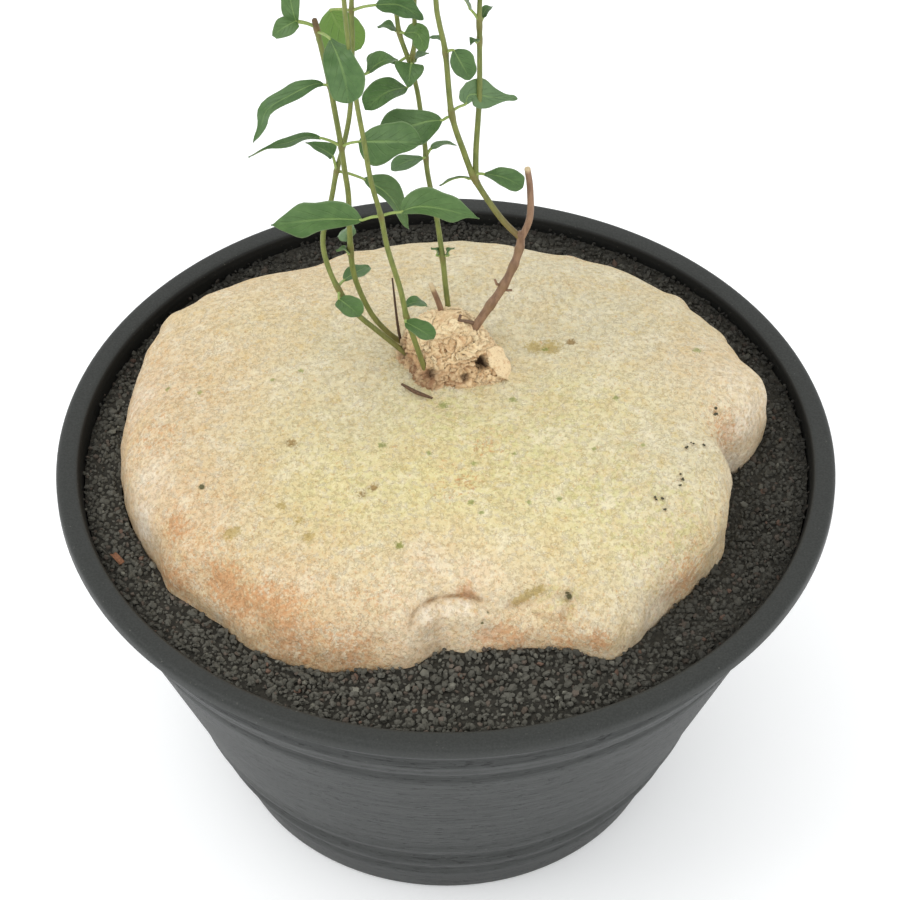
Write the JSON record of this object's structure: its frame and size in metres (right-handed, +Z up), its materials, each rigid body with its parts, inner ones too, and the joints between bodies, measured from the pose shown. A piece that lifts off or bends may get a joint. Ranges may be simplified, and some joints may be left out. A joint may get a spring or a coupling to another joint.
{
  "type": "potted raphionacme",
  "caption": "Potted caudiciform plant: a flat boulder-like tuber sunk in black grit in a round black pot, with a corky crown and thin leafy stems.",
  "frame": {"origin": "centre of the pot's base, on the surface that it stands on", "axes": "+Z up along the pot's axis; the pictured front faces -Y, and +X is the right side in the picture"},
  "size_m": [0.2686, 0.2678, 0.4431],
  "materials": {
    "pot": "matte black plastic with fine combed rings",
    "soil": "loose black volcanic grit",
    "caudex": "fine cracked cream and tan bark with green and orange-brown patches",
    "leafy_stem": "smooth olive stems and satin green leaves",
    "woody_stem": "brown bark below, green shoots above"
  },
  "bodies": {
    "root": {"pot": "pot", "soil": "soil", "caudex": "caudex", "stem_left_outer": "leafy_stem", "stem_left_inner": "leafy_stem", "stem_front": "leafy_stem", "stem_back": "leafy_stem", "stem_woody": "woody_stem"}
  },
  "joints": []
}
